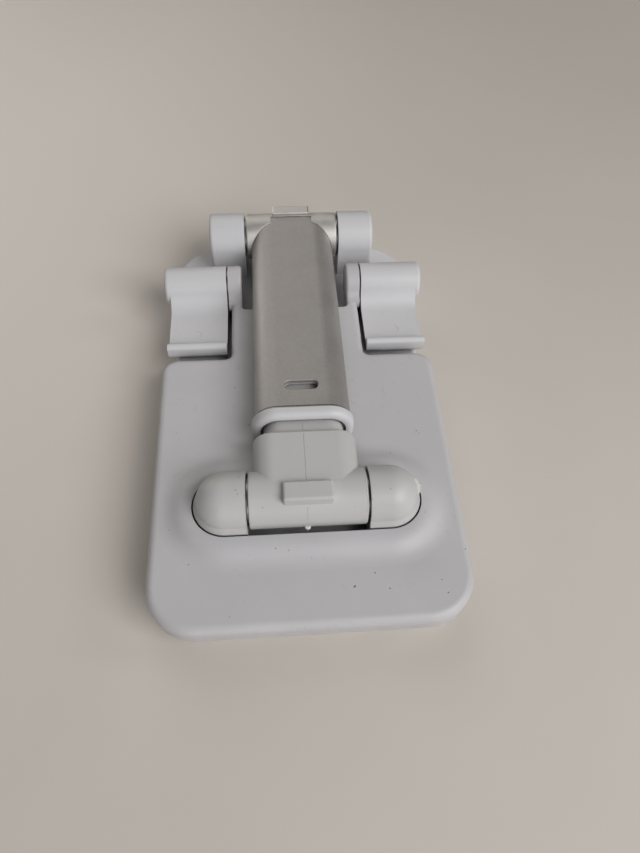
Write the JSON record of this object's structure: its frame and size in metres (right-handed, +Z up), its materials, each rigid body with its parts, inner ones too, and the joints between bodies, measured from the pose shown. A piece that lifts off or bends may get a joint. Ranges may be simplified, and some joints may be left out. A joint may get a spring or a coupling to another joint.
{
  "type": "phone stand",
  "caption": "Folding desktop phone stand: weighted base, telescoping aluminium arm, tilting phone panel and fold-out hooks, stored folded flat.",
  "frame": {"origin": "on the table under the middle of the folded stand", "axes": "+Z up, +Y along the folded arm towards the rear hinge, +X to the right seen from the panel's front edge"},
  "size_m": [0.0686, 0.1152, 0.0228],
  "materials": {
    "white_matte_plastic": "matte injection-moulded ABS",
    "white_satin_plastic": "satin injection-moulded plastic",
    "satin_aluminium": "bead-blasted, anodised",
    "silver_cast_metal": "plated die-casting",
    "steel": "zinc-plated",
    "silicone_grey": "soft matte silicone",
    "nylon": "natural nylon"
  },
  "bodies": {
    "base": {"base_shell": "white_matte_plastic", "base_weight_plate": "steel", "base_bottom_cover": "white_matte_plastic", "base_grip_pad": "silicone_grey", "base_screws": "steel", "base_hinge_bolt": "steel", "base_hinge_nut": "steel", "ear_plugs": "white_matte_plastic", "base_hinge_washers": "steel"},
    "arm": {"arm_tube": "satin_aluminium", "arm_lower_tee": "silver_cast_metal", "tube_end_collar": "white_satin_plastic", "tube_screws": "steel"},
    "slider": {"slider_tee": "white_satin_plastic", "slider_guide_shoe": "nylon", "shoe_screw": "steel", "slide_brake_spring": "steel"},
    "panel": {"panel_back_shell": "white_matte_plastic", "panel_front_plate": "white_matte_plastic", "panel_grip_pad": "silicone_grey", "panel_screws": "steel", "hinge_dome_left": "white_satin_plastic", "hinge_dome_right": "white_satin_plastic", "panel_hinge_axle": "steel", "panel_hinge_washers": "steel", "hook_pins": "steel", "hook_washers": "steel"},
    "left_hook": {"hook_left": "white_matte_plastic"},
    "right_hook": {"hook_right": "white_matte_plastic"}
  },
  "joints": [
    {"name": "arm_lift", "type": "hinge", "parent": "base", "child": "arm", "pos_m": [0, 0.05128, 0.0155], "axis": [-1, 0, 0], "range_deg": [0, 100]},
    {"name": "arm_extend", "type": "slide", "parent": "arm", "child": "slider", "axis": [0, -1, 0], "range_m": [0, 0.03]},
    {"name": "panel_tilt", "type": "hinge", "parent": "slider", "child": "panel", "pos_m": [0, -0.03112, 0.0155], "axis": [-1, 0, 0], "range_deg": [0, 72]},
    {"name": "hook_left_fold", "type": "hinge", "parent": "panel", "child": "left_hook", "pos_m": [-0.026, 0.03587, 0.0125], "axis": [1, 0, 0], "range_deg": [0, 90]},
    {"name": "hook_right_fold", "type": "hinge", "parent": "panel", "child": "right_hook", "pos_m": [0.026, 0.03587, 0.0125], "axis": [1, 0, 0], "range_deg": [0, 90]}
  ],
  "couplings": [
    {"joint": "panel_tilt", "follows": "arm_lift", "ratio": 0.2},
    {"joint": "hook_left_fold", "follows": "arm_lift", "ratio": 0.9},
    {"joint": "hook_right_fold", "follows": "arm_lift", "ratio": 0.9}
  ]
}
